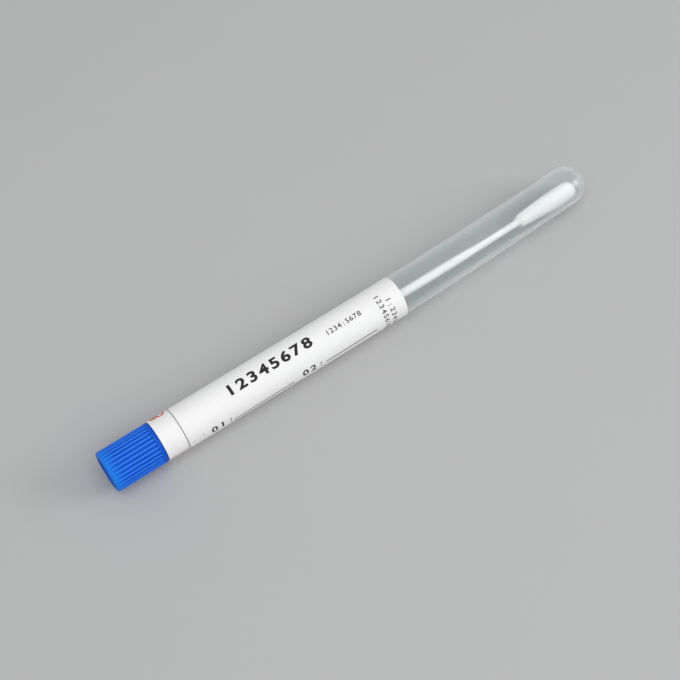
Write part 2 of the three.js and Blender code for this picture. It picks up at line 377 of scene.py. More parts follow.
class Nodes:
    """A new material or world. It adds shader nodes and links them by the names of their sockets."""

    def __init__(self, name, kind="materials", shader="Principled BSDF"):
        self.owner = getattr(bpy.data, kind).new(name)
        self.owner.use_nodes = True
        self.tree = self.owner.node_tree
        self.shader = self.tree.nodes[shader]

    def add(self, kind, inputs=(), **options):
        """A new node with its options and inputs set."""
        node = self.tree.nodes.new(kind)
        for option, value in options.items():
            setattr(node, option, value)
        for socket, value in dict(inputs).items():
            self.put(node.inputs[socket], value)
        return node

    def put(self, socket, value):
        """Links an output socket, or sets a plain value."""
        if isinstance(value, bpy.types.NodeSocket):
            self.tree.links.new(value, socket)
        elif socket.type == "RGBA" and len(value) == 3:
            socket.default_value = (*value, 1)
        else:
            socket.default_value = value

    def set(self, **values):
        """Sets sockets of the shader; an underscore stands for a space in their names."""
        for name, value in values.items():
            self.put(self.shader.inputs[name.replace("_", " ")], value)

    def place(self, stretch=(1, 1, 1)):
        """Object coordinates in metres, stretched along each axis."""
        where = self.add("ShaderNodeTexCoord").outputs["Object"]
        return self.add("ShaderNodeMapping", {"Vector": where, "Scale": stretch}).outputs["Vector"]

    def noise(self, grain_mm, stretch=(1, 1, 1), detail=3.0):
        """Noise with grains of about that size."""
        inputs = {"Vector": self.place(stretch), "Scale": 1 / (grain_mm * MM), "Detail": detail}
        return self.add("ShaderNodeTexNoise", inputs).outputs["Fac"]

    def ramp(self, fac, low, high, start=0.35, stop=0.65):
        """A number between low and high, as fac goes from start to stop."""
        inputs = {"Value": fac, "From Min": start, "From Max": stop, "To Min": low, "To Max": high}
        return self.add("ShaderNodeMapRange", inputs).outputs["Result"]

    def tint(self, fac, first, second):
        """A colour mixed from two by fac."""
        inputs = {"Factor": fac, "A": first, "B": second}
        return self.add("ShaderNodeMix", inputs, data_type="RGBA").outputs["Result"]

    def bump(self, height, depth_mm, strength=1.0):
        """A normal from a height in units of depth_mm."""
        inputs = {"Height": height, "Distance": depth_mm * MM, "Strength": strength}
        return self.add("ShaderNodeBump", inputs).outputs["Normal"]


# ---- materials ----

FIBRE_SLANT = math.radians(14)
FIBRE_GRAIN = (9000, 500, 1)


def dimmed(shade, kept):
    """The same colour, a little darker."""
    return [kept * c for c in shade]


def clouded_plastic(tube):
    """Natural polypropylene: milky, with faint clouds, paler where it is seen edge on, and a smooth skin.

    The haze bends light less than clear plastic would, so the body has a low index and the skin is a coat."""
    n = Nodes("clouded_plastic")
    cloud = n.noise(9, (0.25, 1, 1), 4)
    n.set(Base_Color=n.tint(cloud, tube.plastic, dimmed(tube.plastic, 0.96)))
    n.set(Roughness=n.ramp(cloud, 0.275, 0.29))
    n.set(Transmission_Weight=tube.clearness, IOR=1.08)
    n.set(Sheen_Weight=1.0, Sheen_Roughness=0.4)
    n.set(Coat_Weight=1.0, Coat_Roughness=0.27, Coat_IOR=1.5)
    return n.owner


def blue_plastic(cap):
    """Moulded polyethylene: satin with a fine skin, and painted highlights: a lighter blue along the ribs'
    crests and azure at the thin rim.
    """
    n = Nodes("blue_plastic")
    rise = n.add("ShaderNodeAttribute", attribute_name="rise").outputs["Fac"]
    rim = n.add("ShaderNodeAttribute", attribute_name="rim").outputs["Fac"]
    streak = n.noise(3.5, (0.35, 1, 1))
    body = n.tint(n.ramp(streak, 0, 1), cap.plastic, dimmed(cap.plastic, 0.9))
    # Painted highlight: where the rise attribute is high, the body blue mixes towards the lighter crest
    # colour.
    ribbed = n.tint(n.ramp(rise, 0, 1, 0.15, 0.95), body, cap.crest)
    # Painted highlight: azure towards the thin rim.
    n.set(Base_Color=n.tint(rim, ribbed, cap.rim))
    n.set(Roughness=n.ramp(n.noise(0.9), 0.34, 0.46), IOR=1.5, Specular_IOR_Level=0.1)
    n.set(Normal=n.bump(n.noise(0.12, detail=2), 0.004, 0.5))
    return n.owner


def white_plastic(swab):
    """The shaft's stiff white plastic, with faint lengthwise drawing marks."""
    n = Nodes("white_plastic")
    streak = n.noise(0.8, (0.05, 1, 1))
    n.set(Base_Color=n.tint(streak, swab.shaft_white, dimmed(swab.shaft_white, 0.96)))
    n.set(Roughness=n.ramp(streak, 0.32, 0.45))
    n.set(Normal=n.bump(streak, 0.01, 0.5))
    return n.owner


def wound_fibre(swab, name="wound_fibre"):
    """Soft white fibre: hair-fine windings across the bud, painted shade that makes it slightly darker in the
    grooves between them, and a soft sheen.
    """
    n = Nodes(name)
    place = n.add("ShaderNodeUVMap", uv_map="winding").outputs["UV"]
    slanted = n.add("ShaderNodeMapping", {"Vector": place, "Rotation": (0, 0, FIBRE_SLANT)}).outputs["Vector"]
    drawn = n.add("ShaderNodeMapping", {"Vector": slanted, "Scale": FIBRE_GRAIN}).outputs["Vector"]
    fine = n.add("ShaderNodeTexNoise", {"Vector": drawn, "Scale": 1.0, "Detail": 3}).outputs["Fac"]
    # Painted shade: slightly darker where the winding's bump is low, in the grooves between the windings.
    n.set(Base_Color=n.tint(n.ramp(fine, 0, 1, 0.3, 0.6), dimmed(swab.fibre_white, 0.96), swab.fibre_white))
    n.set(Roughness=n.ramp(fine, 0.95, 0.8), Specular_IOR_Level=0.25)
    n.set(Sheen_Weight=0.25, Sheen_Roughness=0.5)
    n.set(Normal=n.bump(fine, 0.03, 0.8))
    return n.owner


def paper_sheet(name, white, roughness, warm):
    """Coated label paper: nearly white, a faint fibre grain, and a barely uneven surface."""
    n = Nodes(name)
    grain = n.noise(0.35, detail=4)
    patch = n.noise(14, (0.6, 1, 1))
    fibre = n.tint(grain, dimmed(white, 0.965), white)
    aged = [c * t for c, t in zip(white, warm)]
    n.set(Base_Color=n.tint(n.ramp(patch, 0, 0.6, 0.4, 0.75), fibre, aged))
    n.set(Roughness=n.ramp(grain, roughness - 0.05, roughness + 0.07), Specular_IOR_Level=0.4)
    n.set(Normal=n.bump(grain, 0.006, 0.4))
    return n.owner


def ink(name, shade, fade):
    """Printing ink, a little lighter where it lies thin."""
    n = Nodes(name)
    grain = n.noise(0.25, detail=4)
    thin = [c + fade * (0.8 - c) for c in shade]
    n.set(Base_Color=n.tint(n.ramp(grain, 0, 1, 0.5, 0.75), shade, thin))
    n.set(Roughness=n.ramp(grain, 0.42, 0.58), Specular_IOR_Level=0.2)
    return n.owner


def floor_board(stage):
    """A plain pale board with the faintest mottle."""
    n = Nodes("floor_board")
    mottle = n.noise(30)
    n.set(Base_Color=n.tint(mottle, dimmed(stage.floor, 0.985), stage.floor))
    n.set(Roughness=n.ramp(mottle, 0.9, 1.0), Specular_IOR_Level=0.0)
    return n.owner


# ---- tube ----

POLE_TURN = math.radians(1.5)
INNER_DOME_ROWS = 22
OUTER_DOME_ROWS = 26
TUBE_COLUMNS = 128
TUBE_STEP = 2 * MM


def tube_piece(settings):
    """The tube is one closed surface, turned from a profile and laid along the tube's line.

    The profile runs from the inner pole over the inner dome and the lip back to the outer pole."""
    tube = settings.tube
    start, outer = bottom_start(tube), tube.bottom_radius
    inner = outer - tube.wall
    inner_dome = quarter(start, inner, inner, POLE_TURN, math.pi / 2, INNER_DOME_ROWS)
    outer_dome = quarter(start, outer, outer, math.pi / 2, POLE_TURN, OUTER_DOME_ROWS)
    lip = [
        (*inner_dome[-1], 0),
        (0, tube.mouth_radius - tube.wall, tube.lip),
        (0, tube.mouth_radius, tube.lip),
        (*outer_dome[0], 0),
    ]
    profile = np.concatenate([inner_dome[:-1], refined(rounded(lip), TUBE_STEP), outer_dome[1:]])
    wall = turned(profile[:, 0, None], profile[:, 1, None], round_angles(TUBE_COLUMNS))
    wall = laid_along(wall, tube_line, settings)
    piece = mesh_piece("tube_wall", *closed_turning(wall), clouded_plastic(tube), "tube", "clouded_plastic")
    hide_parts("tube")


# ---- cap ----

MOUTH_GAP = 0.02 * MM
BORE_GAP = 0.05 * MM
LEAD_IN = 1.4 * MM
CAP_STEP = 1.5 * MM
CAP_COLUMNS_PER_RIB = 12
RIB_CREST = 1.8
RIB_TURN = math.radians(2)
RIB_END = 0.16 * MM
RIB_ROWS = RIB_END * np.array([-0.5, 0, 0.25, 0.5, 0.75, 1, 1.5])
HEAD_SHARE = 0.98
PLAIN_RISE = 0.4
# Painted shade: the collar is a little lighter in its middle and fades to the plain body colour at its edge
# by the tube.
COLLAR_RISE = 0.3
COLLAR_SHADE_FADE = 0.7 * MM
# Painted highlight: the rim's azure fades out along the head over this length.
RIM_HIGHLIGHT_FADE = 5 * MM


def rib_shape(cap, x, angles):
    """Height of the ribs from 0 to 1, and where they show.

    Round the head a crest is ((1 + cos(ribs * angle)) / 2) to a power, so crests are narrow and valleys wide.
    Along it the valleys start past the rim and stop short at the collar, both along smooth steps."""
    crest = ((1 + np.cos(cap.ribs * (angles + RIB_TURN))) / 2) ** RIB_CREST
    past_rim = smooth_step((x - HEAD_END - 0.4 * cap.rim_round) / (4 * RIB_END))
    return crest, past_rim * smooth_step((-cap.collar - x) / RIB_END)


def cap_profile(settings):
    """The cap's outline, in order: recess, rim, head, plug, hollow, socket and the socket's bore."""
    cap = settings.cap
    recess_floor = HEAD_END + cap.recess_depth
    bore = settings.swab.radius + BORE_GAP
    corners = [
        (recess_floor, 0.5 * MM, 0),
        (recess_floor, cap.recess_radius - 0.15 * MM, 0.5 * MM),
        (HEAD_END, cap.recess_radius, 0.45 * MM),
        (HEAD_END, HEAD_RADIUS, cap.rim_round),
        (-MOUTH_GAP, HEAD_RADIUS, 0.4 * MM),
        (-MOUTH_GAP, cap.plug_radius, 0.08 * MM),
        (cap.plug_length - LEAD_IN, cap.plug_radius, 0.4 * MM),
        (cap.plug_length, cap.plug_radius - 0.3 * MM, 0.25 * MM),
        (cap.plug_length, cap.hollow_radius, 0.2 * MM),
        (-cap.hollow_depth, cap.hollow_radius, 0.3 * MM),
        (-cap.hollow_depth, cap.socket_radius, 0.3 * MM),
        (cap.socket_length, cap.socket_radius, 0.2 * MM),
        (cap.socket_length, bore, 0.2 * MM),
        (-cap.socket_depth, bore, 0.2 * MM),
        (-cap.socket_depth, 0.3 * MM, 0),
    ]
    return refined(rounded(corners), CAP_STEP)


def cap_piece(settings):
    """The cap is one closed surface of turned rings. Valleys between the ribs lower the head's radius."""
    cap = settings.cap
    profile = with_stops(cap_profile(settings), -cap.collar - RIB_ROWS, HEAD_SHARE * HEAD_RADIUS)
    x, plain_radius = profile[:, 0, None], profile[:, 1, None]
    angles = round_angles(cap.ribs * CAP_COLUMNS_PER_RIB)
    crest, shown = rib_shape(cap, x, angles)
    shown = shown * (plain_radius > HEAD_SHARE * HEAD_RADIUS)
    points = TUBE_ORIGIN + turned(x, plain_radius - cap.rib_depth * (1 - crest) * shown, angles)
    piece = mesh_piece("cap_body", *closed_turning(points), blue_plastic(cap), "cap", "blue_plastic")
    outside = plain_radius > cap.plug_radius
    # Painted highlight along the ribs' crests and the collar's middle, and painted shade on the collar
    # towards the tube.
    plain = np.where(x > -2 * cap.collar, COLLAR_RISE * smooth_step(-x / COLLAR_SHADE_FADE), PLAIN_RISE)
    store(piece, "rise", np.where(outside, plain * (1 - shown) + shown * crest, PLAIN_RISE), PLAIN_RISE)
    # Painted highlight: azure near the rim, fading along the head.
    rim_highlight_share = (1 - smooth_step((x + 0 * angles - HEAD_END) / RIM_HIGHLIGHT_FADE)) ** 2
    store(piece, "rim", outside * rim_highlight_share, 0)
    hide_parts("cap")


def with_stops(profile, stops, least_radius):
    """Adds rows at the given places along the profile's outermost run."""
    outer = np.flatnonzero(profile[:, 1] >= least_radius)
    first, last = outer[0], outer[-1] + 1
    run = profile[first:last]
    extra = np.stack([stops, np.interp(stops, run[:, 0], run[:, 1])], axis=-1)
    run = np.concatenate([run, extra])
    return np.concatenate([profile[:first], run[np.argsort(run[:, 0], kind="stable")], profile[last:]])


def store(piece, name, values, at_poles):
    """Keeps one number per vertex for the material to read, the two end points' number last."""
    attribute = piece.data.attributes.new(name, "FLOAT", "POINT")
    attribute.data.foreach_set("value", np.append(values, [at_poles, at_poles]).astype(np.float32))


# ---- swab ----

SWAB_STEP = 2 * MM
SHAFT_STOP = 4.2 * MM
SHAFT_COLUMNS = 64
PARTING_HEIGHT = 0.02 * MM
PARTING_WIDTH = 0.1

BUD_SHOULDER = 1.1 * MM
SHOULDER_ROWS = 10
NOSE_ROWS = 36
BUD_ROW = 0.1 * MM
BUD_COLUMNS = 168
BUD_BORE_STOP = 4.1 * MM
BUD_BORE_GAP = 0.04 * MM
BUD_BORE_STEP = 1.5 * MM
WINDING_DEPTH = 0.07 * MM
WINDINGS = ((0.55, 1, 0.16, 5), (1.3, -2, 0.14, 5), (3.5, 3, 0.22, 6), (9.0, 2, 0.28, 4))

STRANDS = 900
STRAND_SIDES = 3
STRAND_STEPS = 9
STRAND_RADIUS = 0.016 * MM
STRAND_RUN = 0.9 * MM
STRAND_WAVE = 0.06 * MM
STRAND_SUNK = 0.09 * MM
STRAND_LIFT = 0.035 * MM
HIGHEST_LIFT = 0.14 * MM


def shaft_piece(settings):
    """The shaft is turned from its outline, with rounded ends and two fine parting lines along its sides."""
    cap, swab = settings.cap, settings.swab
    root = -cap.socket_depth + 0.1 * MM
    end = BUD_SPAN[1] - SHAFT_STOP
    corners = [
        (root, 0.2 * MM, 0),
        (root, swab.radius, 0.25 * MM),
        (swab.neck_start, swab.radius, 40 * MM),
        (swab.neck_end, swab.neck_radius, 40 * MM),
        (end, swab.neck_radius, 0.3 * MM),
        (end, 0.15 * MM, 0),
    ]
    profile = refined(rounded(corners), SWAB_STEP)
    x, radius = profile[:, 0, None], profile[:, 1, None]
    angles = round_angles(SHAFT_COLUMNS)
    ridge = np.exp(-((np.sin(angles) / PARTING_WIDTH) ** 2)) * PARTING_HEIGHT
    ridged = (x >= cap.socket_length) * (radius > 0.8 * MM)
    points = turned(x, radius + ridge * ridged, angles + math.pi / 2)
    points = laid_along(points, swab_line, settings)
    piece = mesh_piece("shaft", *closed_turning(points), white_plastic(swab), "cap", "white_plastic")
    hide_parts("swab_shaft")


def bud_profile(swab):
    """Outline of the bud: a quick round shoulder, a swell along a quarter sine wave, a blunt round nose."""
    start, end = BUD_SPAN
    shoulder_end = start + BUD_SHOULDER
    nose_start = end - swab.bud_nose
    step = swab.bud_root - swab.neck_radius
    shoulder = quarter(shoulder_end, -BUD_SHOULDER, step, 0, math.pi / 2, SHOULDER_ROWS)
    shoulder[:, 1] += swab.neck_radius
    x = np.arange(shoulder_end + 2 * BUD_ROW, nose_start, BUD_ROW)
    swell = np.sin((x - shoulder_end) / (nose_start - shoulder_end) * math.pi / 2)
    body = np.stack([x, swab.bud_root + (swab.bud_radius - swab.bud_root) * swell], axis=-1)
    nose = quarter(nose_start, swab.bud_nose, swab.bud_radius, math.pi / 2, 2 * POLE_TURN, NOSE_ROWS)
    return np.concatenate([shoulder, body, nose])


def winding(x, angle, rng):
    """Height of the wound fibre, up to about 1.

    Sums of waves sin(turns * angle + 2 pi x / pitch + phase): shallow ones for the windings, steep ones for
    loose bundles that cross them, and a few long ones for lumps. Pitches are in millimetres."""
    height = 0 * (x + angle)
    for pitch, turns, amount, count in WINDINGS:
        for _ in range(count):
            wave = 2 * math.pi * x / (pitch * MM * rng.uniform(0.7, 1.4))
            extra_turn = rng.integers(-1, 2)
            phase = rng.uniform(0, 6.28)
            height = height + amount / count**0.5 * np.sin(extra_turn * angle + turns * angle + wave + phase)
    return height


def bud_piece(settings):
    """The bud is turned from its outline, with the winding's height added, and a bore for the shaft."""
    swab = settings.swab
    outline = bud_profile(swab)
    bore_end = BUD_SPAN[1] - BUD_BORE_STOP
    bore_radius = swab.neck_radius + BUD_BORE_GAP
    bore = np.array([(bore_end, 0.15 * MM), (bore_end, bore_radius), (outline[0, 0], bore_radius)])
    bore = refined(bore, BUD_BORE_STEP)
    profile = np.concatenate([bore, outline])
    x, radius = profile[:, 0, None], profile[:, 1, None]
    angles = round_angles(BUD_COLUMNS)
    depth = WINDING_DEPTH * np.minimum(1, radius / swab.bud_root)
    height = winding(x, angles, np.random.default_rng(5)) - 1
    outer = (np.arange(len(profile)) >= len(bore))[:, None]
    points = turned(x, radius + np.where(outer, depth * height, 0), angles)
    points = laid_along(points, swab_line, settings)
    piece = mesh_piece("bud", *closed_turning(points), wound_fibre(swab), "cap", "wound_fibre")
    wind_map(piece, settings)
    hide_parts("swab_bud")


def wind_map(piece, settings):
    """UV map in metres: the distance along the swab, and the distance round it at the bud's widest."""
    mesh = piece.data
    corner_vertex = read(mesh.loops, "vertex_index", np.int32)
    place = read(mesh.vertices, "co", np.float32, 3) - TUBE_ORIGIN
    side, up = swab_line(settings, place[:, 0])
    angle = np.arctan2(place[:, 1] - side, place[:, 2] - up)[corner_vertex]
    starts = read(mesh.polygons, "loop_start", np.int32)
    totals = read(mesh.polygons, "loop_total", np.int32)
    first = np.repeat(angle[starts], totals)
    angle = angle + 2 * math.pi * np.round((first - angle) / (2 * math.pi))
    coordinates = np.stack([place[corner_vertex, 0], angle * settings.swab.bud_radius], axis=-1)
    layer = mesh.uv_layers.new(name="winding")
    layer.data.foreach_set("uv", coordinates.astype(np.float32).ravel())


def strand_piece(settings):
    """Loose fibres on the bud: thin three-sided tubes along short helical arcs that lift off and come back.

    Along a strand t runs from 0 to 1: x = x0 + run * t plus a small wave, angle = angle0 + sweep * t, and it
    stands lift * sin(pi t) above the place where it starts."""
    swab = settings.swab
    rng = np.random.default_rng(11)
    outline = bud_profile(swab)
    low, high = outline[0, 0] + 0.5 * MM, outline[-1, 0] - 0.4 * MM
    t = np.linspace(0, 1, STRAND_STEPS)
    each = (STRANDS, 1)
    x0 = rng.uniform(low, high, each)
    run = rng.normal(0, STRAND_RUN, each)
    sweep = rng.uniform(0.35, 1.3, each) * rng.choice([-1, 1], each, p=[0.2, 0.8])
    lift = np.minimum(rng.gamma(1.4, STRAND_LIFT, each), HIGHEST_LIFT)
    waves, phase = rng.uniform(0.5, 2, each), rng.uniform(0, 6.28, each)
    x = np.clip(x0 + run * t + STRAND_WAVE * np.sin(2 * math.pi * t * waves + phase), low, high)
    angle = rng.uniform(0, 2 * math.pi, each) + sweep * t
    radius = np.interp(x, outline[:, 0], outline[:, 1]) - STRAND_SUNK + lift * np.sin(math.pi * t)
    centre = laid_along(turned(x, radius, angle), swab_line, settings)
    out = turned(0, 1, angle)
    across = np.cross(out, np.gradient(centre, axis=1))
    across /= np.linalg.norm(across, axis=-1, keepdims=True)
    thick = STRAND_RADIUS * np.sqrt(np.clip(4 * t * (1 - t), 0.06, 1))[None, :, None]
    corners = [math.cos(a) * out + math.sin(a) * across for a in round_angles(STRAND_SIDES)]
    rings = centre[:, :, None] + np.stack([thick * c for c in corners], axis=2)
    count = STRAND_STEPS * STRAND_SIDES
    ends = np.array([[2, 1, 0], [count - 3, count - 2, count - 1]])
    shift = (np.arange(STRANDS) * count)[:, None, None]
    one = (ring_quads(STRAND_STEPS, STRAND_SIDES), ends)
    faces = [(block + shift).reshape(-1, block.shape[1]) for block in one]
    fibre = wound_fibre(swab, "loose_fibre")
    piece = mesh_piece("bud_fibres", rings.reshape(-1, 3), faces, fibre, "cap", "wound_fibre")
    wind_map(piece, settings)


# ---- label and seal band ----

# FACING is the line on the papers that faces the reader, and SEAM the line where they start and end.
FACING = math.radians(-23.85)
SEAM = FACING + math.radians(130)
INK = 0.008 * MM
PAPER_WAVE = 0.004 * MM
LAP_GAP = 0.01 * MM
CLIMB = 0.18
CLIMB_COLUMNS = 30
LEVEL_COLUMNS = 150
SLEEVE_ROW = 0.8 * MM
EDGE_ROW = 0.05 * MM
FLARE_TURN = math.radians(-100)
FLARE_HEIGHT = 0.10 * MM
FLARE_LENGTH = 5 * MM
# Height and side room of the grey strip of painted shade in the gap between the papers.
GAP_SHADE_HEIGHT = 0.03 * MM
GAP_SHADE_ROOM = 0.02 * MM
SHARP_EDGE = math.radians(40)


def label_radius(x, angle):
    """Outer radius of the label: nearly level, with faint waves, and its far end stands off on one side."""
    wave = np.sin(2 * angle + x / (7 * MM)) * np.sin(x / (11 * MM)) + np.sin(5 * angle - x / (4 * MM))
    flare = smooth_step((x - LABEL_SPAN[1] + FLARE_LENGTH) / FLARE_LENGTH)
    flare = flare * np.maximum(0, np.cos(angle - FLARE_TURN)) ** 2
    return LABEL_RADIUS - 2 * INK - PAPER_WAVE * (2 + wave) + FLARE_HEIGHT * flare


def band_radius(x, angle):
    """Outer radius of the seal band, with faint waves."""
    return BAND_RADIUS - 2 * INK - PAPER_WAVE * (1 + np.sin(3 * angle + x / (2 * MM)))


def paper_sleeve(name, node, material, slot, span, radius_at, line, settings):
    """A strip of paper that goes once round the tube and over its own start.

    Round the tube the angle runs from the seam through a full turn and the lap. The strip climbs by its own
    thickness along a smooth step before it meets its start. Each ring has the outer side, then the inner side
    back."""
    paper, whole = settings.paper, 2 * math.pi
    lap_turn = paper.lap / radius_at(np.array(span[0]), 0.0)
    level = np.linspace(0, whole - CLIMB, LEVEL_COLUMNS)
    turn = np.append(level, np.linspace(whole - CLIMB, whole + lap_turn, CLIMB_COLUMNS)[1:])
    rows = np.linspace(*span, max(8, int((span[1] - span[0]) / SLEEVE_ROW)))
    x = np.unique([*rows, span[0] + EDGE_ROW, span[1] - EDGE_ROW])[:, None]
    rise = (paper.thickness + LAP_GAP) * smooth_step((turn - whole + CLIMB) / CLIMB)
    angle = SEAM + turn
    outer = radius_at(x, angle) + rise
    radius = np.concatenate([outer, (outer - paper.thickness)[:, ::-1]], axis=1)
    points = laid_along(turned(x, radius, np.append(angle, angle[::-1])), line, settings)
    rows, columns = points.shape[:2]
    j = np.arange(len(turn) - 1)
    first_end = np.stack([j, j + 1, columns - 2 - j, columns - 1 - j], axis=-1)
    last_end = first_end[:, ::-1] + (rows - 1) * columns
    faces = [ring_quads(rows, columns), first_end, last_end]
    piece = mesh_piece(name, points.reshape(-1, 3), faces, material, "tube", slot)
    piece.data.set_sharp_from_angle(angle=SHARP_EDGE)
    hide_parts(node)


def gap_shade_line(settings):
    """A thin grey line on the tube, in the narrow gap between the seal band and the label: painted shade for
    the shadow at the papers' edges.
    """

    def surface(x, _):
        """A little above the tube, and the same at every angle."""
        return tube_radius(settings.tube, x) + GAP_SHADE_HEIGHT

    middle = (BAND_SPAN[1] + LABEL_SPAN[0]) / 2
    gap_shade = Flat()
    gap_shade.bar((middle, turned_up(180)), (middle, turned_up(-180)), LABEL_SPAN[0] - BAND_SPAN[1] - GAP_SHADE_ROOM)
    # Painted shade: the strip's grey stands for the shade in the gap.
    adhesive = ink("adhesive", settings.paper.gap_shade, 0.1)
    wrapped_print("seam_gap_shade", gap_shade, adhesive, "band_paper", surface, tube_line, settings)


# ---- print ----

DIGIT_HEIGHT = 0.73
CUT_ROUND = 0.3 * MM
CUT_ALONG = 4 * MM
TITLE_TYPE = {"height": 3.15 * MM, "pitch": 3.6 * MM, "weight": 0.035, "stretch": 1.3, "turn": 0.006}
FIELD_TYPE = {"height": 2.35 * MM, "pitch": 2.6 * MM, "weight": 0.02, "stretch": 1.25, "turn": 0.012}
SMALL_TYPE = {"height": 1.55 * MM, "pitch": 1.34 * MM, "weight": 0.02, "stretch": 1.1, "turn": 0.006}
COLUMN_TYPE = {"height": 1.6 * MM, "pitch": 1.58 * MM, "weight": 0.02, "stretch": 1.1, "turn": -math.pi / 2}


class Flat:
    """Flat marks as vertices and faces: x runs along the tube, and y round it, up for the reader."""

    def __init__(self):
        self.vertices = np.empty((0, 2))
        self.faces = []

    def add(self, places, faces):
        """Adds one mark, whose faces count its own vertices from 0."""
        self.faces += [[k + len(self.vertices) for k in face] for face in faces]
        self.vertices = np.concatenate([self.vertices, places])

    def bar(self, start, end, width):
        """A straight line of the given width between two points."""
        start, end = np.array(start), np.array(end)
        along = (end - start) / np.linalg.norm(end - start)
        half = np.array([-along[1], along[0]]) * width / 2
        self.add([start - half, end - half, end + half, start + half], [[0, 1, 2, 3]])

    def ring(self, centre, outer, inner, steps=40):
        """A flat ring between two circles."""
        angle = round_angles(steps)
        circle = np.stack([np.cos(angle), np.sin(angle)], axis=-1)
        places = np.concatenate([centre + inner * circle, centre + outer * circle])
        self.add(places, ring_quads(2, steps).tolist())

    def row(self, text, start, height, pitch, weight, stretch, turn):
        """Characters in a row from start, each centred on its own step of the row."""
        heading = np.array([math.cos(turn), math.sin(turn)])
        upward = np.array([-heading[1], heading[0]])
        for k, character in enumerate(text):
            places, faces = glyph(character, weight)
            middle = (places[:, 0].min() + places[:, 0].max()) / 2
            along = (places[:, 0, None] - middle) * height * stretch + (k + 0.5) * pitch
            self.add(np.array(start) + along * heading + places[:, 1, None] * height * upward, faces)


def glyph(character, weight):
    """Flat outline of a character of the built-in font, with a digit's height as 1, made bolder by weight."""
    curve = bpy.data.curves.new("glyph", "FONT")
    curve.body = character
    curve.offset = weight
    curve.resolution_u = 4
    text = in_scene("glyph", curve)
    mesh = bpy.data.meshes.new_from_object(text.evaluated_get(bpy.context.evaluated_depsgraph_get()))
    places = read(mesh.vertices, "co", np.float32, 3)
    faces = [list(face.vertices) for face in mesh.polygons]
    bpy.data.batch_remove([text, curve, mesh])
    return places[:, :2] / DIGIT_HEIGHT, faces


def cut_up(flat):
    """Places and triangles of flat marks, cut at even steps round the tube and along it."""
    places = flat.vertices
    mesh = bpy.data.meshes.new("marks")
    mesh.from_pydata(np.pad(places, ((0, 0), (0, 1))).tolist(), [], flat.faces)
    work = bmesh.new()
    work.from_mesh(mesh)
    for axis, step in ((1, CUT_ROUND), (0, CUT_ALONG)):
        lowest, highest = places[:, axis].min(), places[:, axis].max()
        normal = Vector((0, 0, 0))
        normal[axis] = 1
        for cut in np.arange(math.ceil(lowest / step) * step, highest, step):
            everything = work.verts[:] + work.edges[:] + work.faces[:]
            bmesh.ops.bisect_plane(work, geom=everything, plane_co=cut * normal, plane_no=normal)
    bmesh.ops.triangulate(work, faces=work.faces[:])
    work.to_mesh(mesh)
    work.free()
    places = read(mesh.vertices, "co", np.float32, 3).astype(float)
    triangles = read(mesh.loops, "vertex_index", np.int32).reshape(-1, 3)
    bpy.data.meshes.remove(mesh)
    return places[:, 0], places[:, 1], triangles


def wrapped_print(name, flat, material, slot, radius_at, line, settings):
    """Lays flat marks on the paper as a thin closed film.

    Their distance y round the tube becomes an angle y / radius from the line that faces the reader. A second
    layer below them and a wall along every open edge close the film."""
    x, y, triangles = cut_up(flat)
    angle = FACING + y / LABEL_RADIUS
    heights = [radius_at(x, angle) + lift for lift in (INK, -INK)]
    layers = [laid_along(turned(x, height, angle), line, settings) for height in heights]
    count = len(x)
    start, end = triangles.ravel(), np.roll(triangles, -1, axis=1).ravel()
    is_open = ~np.isin(start * count + end, end * count + start)
    start, end = start[is_open], end[is_open]
    walls = np.stack([end, start, start + count, end + count], axis=-1)
    faces = [triangles, triangles[:, ::-1] + count, walls]
    mesh_piece(name, np.concatenate(layers), faces, material, "tube", slot, smooth=False)


def turned_up(degrees):
    """Distance round the label, upwards for the reader, for an angle below the facing line."""
    return -math.radians(degrees) * LABEL_RADIUS


def spot(x_mm, degrees):
    """A place on the flat label, from a distance along the tube in millimetres and an angle round it."""
    return x_mm * MM, turned_up(degrees)


def label_print(settings):
    """Plain numerals and ruled lines on the label."""
    paper = settings.paper
    title, fields, small = Flat(), Flat(), Flat()
    title.row("12345678", spot(21.6, -2.6), **TITLE_TYPE)
    fields.row("01:", spot(13.4, 69.0), **FIELD_TYPE)
    fields.bar(spot(20.8, 68.9), spot(40.6, 65.8), 0.38 * MM)
    fields.row("02:", spot(43.3, 66.2), **FIELD_TYPE)
    fields.bar(spot(51.4, 62.0), spot(68.9, 59.2), 0.36 * MM)
    small.row("1234:5678", spot(54.5, -5.0), **SMALL_TYPE)
    small.row("12345678", spot(71.95, -32), **COLUMN_TYPE)
    small.row("1:234567", spot(74.55, -10), **COLUMN_TYPE)
    for place in (spot(8.1, 54.8), spot(11.2, 52.9)):
        small.ring(place, 0.2 * MM, 0.1 * MM, steps=12)
    prints = (
        ("label_title", title, ink("black_ink", paper.black, 0.02)),
        ("label_fields", fields, ink("field_ink", paper.black, 0.06)),
        ("label_small_print", small, ink("grey_ink", paper.grey, 0.25)),
    )
    for name, flat, material in prints:
        wrapped_print(name, flat, material, "label_paper", label_radius, label_line, settings)


